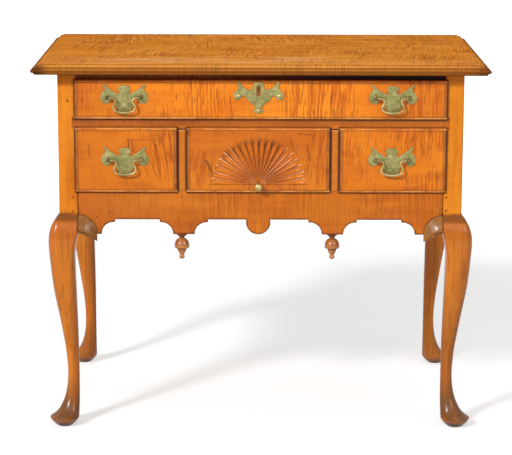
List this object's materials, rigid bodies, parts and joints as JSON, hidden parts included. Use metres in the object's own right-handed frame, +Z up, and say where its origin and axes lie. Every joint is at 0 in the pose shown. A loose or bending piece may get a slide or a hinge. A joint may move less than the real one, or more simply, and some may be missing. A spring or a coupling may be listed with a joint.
{
  "type": "dressing table",
  "caption": "Maple dressing table with cabriole legs, pad feet, a scrolled apron with turned drops, lipped drawers, a carved fan and bat-wing brass pulls.",
  "frame": {"origin": "on the floor under the middle of the piece's bounding box", "axes": "+X to the viewer's right, +Y to the back, +Z up; the drawers face -Y"},
  "size_m": [0.924, 0.5645, 0.762],
  "materials": {
    "curly_maple": "old shellac over amber curly maple",
    "top_maple": "old shellac over curly maple, browner and glossier",
    "pine": "bare pine, aged",
    "aged_brass": "cast brass, aged green-gold",
    "iron": "dark wrought iron"
  },
  "bodies": {
    "case": {"back_panel": "pine", "divider_left": "curly_maple", "divider_right": "curly_maple", "drop_left": "curly_maple", "drop_right": "curly_maple", "front_skirt": "curly_maple", "knee_block_front_left": "curly_maple", "knee_block_front_right": "curly_maple", "knee_block_side_front_left": "curly_maple", "knee_block_side_front_right": "curly_maple", "knee_block_side_rear_left": "curly_maple", "knee_block_side_rear_right": "curly_maple", "leg_front_left": "curly_maple", "leg_front_right": "curly_maple", "leg_rear_left": "curly_maple", "leg_rear_right": "curly_maple", "lower_runner_left": "pine", "lower_runner_right": "pine", "medial_runner_left": "pine", "medial_runner_right": "pine", "mid_rail": "curly_maple", "side_panel_left": "curly_maple", "side_panel_right": "curly_maple", "top_board": "top_maple", "top_rail": "curly_maple", "upper_runner_left": "pine", "upper_runner_right": "pine"},
    "drawer_top": {"drawer_top_back": "pine", "drawer_top_bottom": "pine", "drawer_top_front": "curly_maple", "drawer_top_left_side": "pine", "drawer_top_right_side": "pine", "escutcheon": "aged_brass", "lock_case": "iron", "pull_plate_top_left": "aged_brass", "pull_plate_top_right": "aged_brass"},
    "drawer_left": {"drawer_left_back": "pine", "drawer_left_bottom": "pine", "drawer_left_front": "curly_maple", "drawer_left_left_side": "pine", "drawer_left_right_side": "pine", "pull_plate_lower_left": "aged_brass"},
    "drawer_centre": {"drawer_centre_back": "pine", "drawer_centre_bottom": "pine", "drawer_centre_front": "curly_maple", "drawer_centre_left_side": "pine", "drawer_centre_right_side": "pine", "fan_knob": "aged_brass"},
    "drawer_right": {"drawer_right_back": "pine", "drawer_right_bottom": "pine", "drawer_right_front": "curly_maple", "drawer_right_left_side": "pine", "drawer_right_right_side": "pine", "pull_plate_lower_right": "aged_brass"},
    "bail_top_left": {"bail_top_left": "aged_brass"},
    "bail_top_right": {"bail_top_right": "aged_brass"},
    "bail_lower_left": {"bail_lower_left": "aged_brass"},
    "bail_lower_right": {"bail_lower_right": "aged_brass"},
    "bolt": {"lock_bolt": "iron"}
  },
  "joints": [
    {"name": "drawer_top_slide", "type": "slide", "parent": "case", "child": "drawer_top", "axis": [0, -1, 0], "range_m": [0, 0.36]},
    {"name": "drawer_left_slide", "type": "slide", "parent": "case", "child": "drawer_left", "axis": [0, -1, 0], "range_m": [0, 0.36]},
    {"name": "drawer_centre_slide", "type": "slide", "parent": "case", "child": "drawer_centre", "axis": [0, -1, 0], "range_m": [0, 0.36]},
    {"name": "drawer_right_slide", "type": "slide", "parent": "case", "child": "drawer_right", "axis": [0, -1, 0], "range_m": [0, 0.36]},
    {"name": "bail_top_left_hinge", "type": "hinge", "parent": "drawer_top", "child": "bail_top_left", "pos_m": [-0.2759, -0.25935, 0.6935], "axis": [-1, 0, 0], "range_deg": [-8, 172]},
    {"name": "bail_top_right_hinge", "type": "hinge", "parent": "drawer_top", "child": "bail_top_right", "pos_m": [0.2669, -0.25935, 0.6935], "axis": [-1, 0, 0], "range_deg": [-8, 172]},
    {"name": "bail_lower_left_hinge", "type": "hinge", "parent": "drawer_left", "child": "bail_lower_left", "pos_m": [-0.2759, -0.25935, 0.566], "axis": [-1, 0, 0], "range_deg": [-8, 172]},
    {"name": "bail_lower_right_hinge", "type": "hinge", "parent": "drawer_right", "child": "bail_lower_right", "pos_m": [0.2669, -0.25935, 0.566], "axis": [-1, 0, 0], "range_deg": [-8, 172]},
    {"name": "lock_bolt_slide", "type": "slide", "parent": "drawer_top", "child": "bolt", "axis": [0, 0, 1], "range_m": [0, 0.006]}
  ]
}
